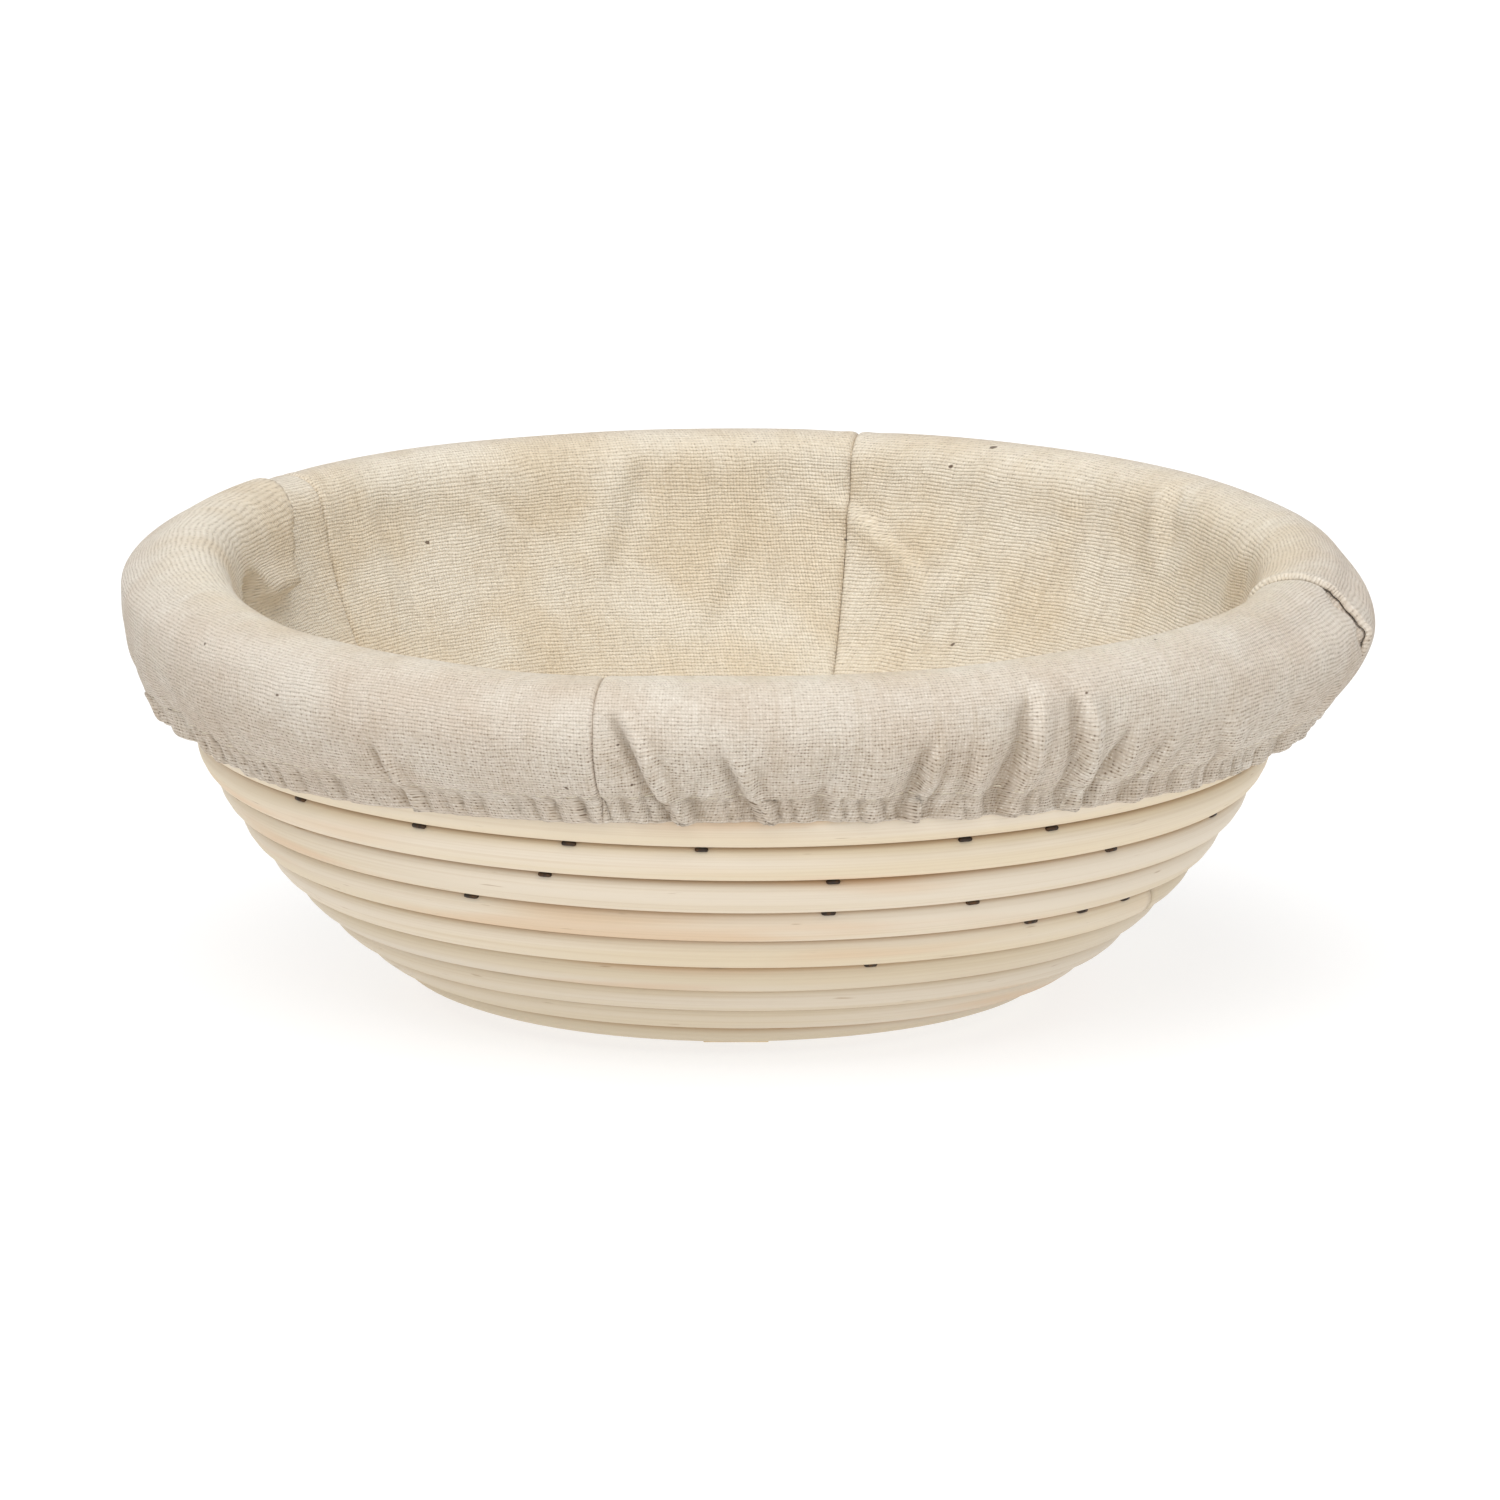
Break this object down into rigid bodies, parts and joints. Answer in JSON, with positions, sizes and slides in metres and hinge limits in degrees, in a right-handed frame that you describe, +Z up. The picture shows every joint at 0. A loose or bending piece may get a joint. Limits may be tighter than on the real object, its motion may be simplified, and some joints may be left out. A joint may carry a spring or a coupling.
{
  "type": "proofing basket",
  "caption": "Round coiled-cane proofing basket on a flat base with crossed battens, with a gathered linen liner that folds over the rim and lifts out.",
  "frame": {"origin": "centre of the basket, on the underside of the front-to-back batten, which is the surface it stands on", "axes": "+Z up, through the centre of the bowl; -Y is the front"},
  "size_m": [0.2341, 0.2353, 0.0843],
  "materials": {
    "cane": "dry natural cane",
    "batten_wood": "planed softwood",
    "staple_steel": "dulled wire",
    "linen": "plain-weave unbleached linen",
    "elastic": "woven elastic band"
  },
  "bodies": {
    "basket": {"batten_front_to_back": "batten_wood", "batten_side_to_side": "batten_wood", "cane_base": "cane", "cane_rim": "cane", "cane_wall_high": "cane", "cane_wall_low": "cane", "cane_wall_middle": "cane", "staple_batten_01": "staple_steel", "staple_batten_02": "staple_steel", "staple_batten_03": "staple_steel", "staple_batten_04": "staple_steel", "staple_batten_05": "staple_steel", "staple_batten_06": "staple_steel", "staple_batten_07": "staple_steel", "staple_batten_08": "staple_steel", "staple_wall_01": "staple_steel", "staple_wall_02": "staple_steel", "staple_wall_03": "staple_steel", "staple_wall_04": "staple_steel", "staple_wall_05": "staple_steel", "staple_wall_06": "staple_steel", "staple_wall_07": "staple_steel", "staple_wall_08": "staple_steel", "staple_wall_09": "staple_steel", "staple_wall_10": "staple_steel", "staple_wall_11": "staple_steel", "staple_wall_12": "staple_steel", "staple_wall_13": "staple_steel", "staple_wall_14": "staple_steel", "staple_wall_15": "staple_steel", "staple_wall_16": "staple_steel", "staple_wall_17": "staple_steel", "staple_wall_18": "staple_steel", "staple_wall_19": "staple_steel", "staple_wall_20": "staple_steel", "staple_wall_21": "staple_steel", "staple_wall_22": "staple_steel"},
    "liner": {"hem_elastic": "elastic", "liner_gore_front": "linen", "liner_gore_left": "linen", "liner_gore_rear": "linen", "liner_gore_right": "linen", "liner_hem": "linen", "liner_skirt_front": "linen", "liner_skirt_left": "linen", "liner_skirt_rear": "linen", "liner_skirt_right": "linen", "seam_front_left": "linen", "seam_rear_left": "linen", "seam_rear_right": "linen", "seam_right": "linen"}
  },
  "joints": [
    {"name": "liner_lift", "type": "slide", "parent": "basket", "child": "liner", "axis": [0, 0, 1], "range_m": [0, 0.12], "deforming": ["hem_elastic", "liner_hem", "liner_skirt_front", "liner_skirt_left", "liner_skirt_rear", "liner_skirt_right"]}
  ]
}
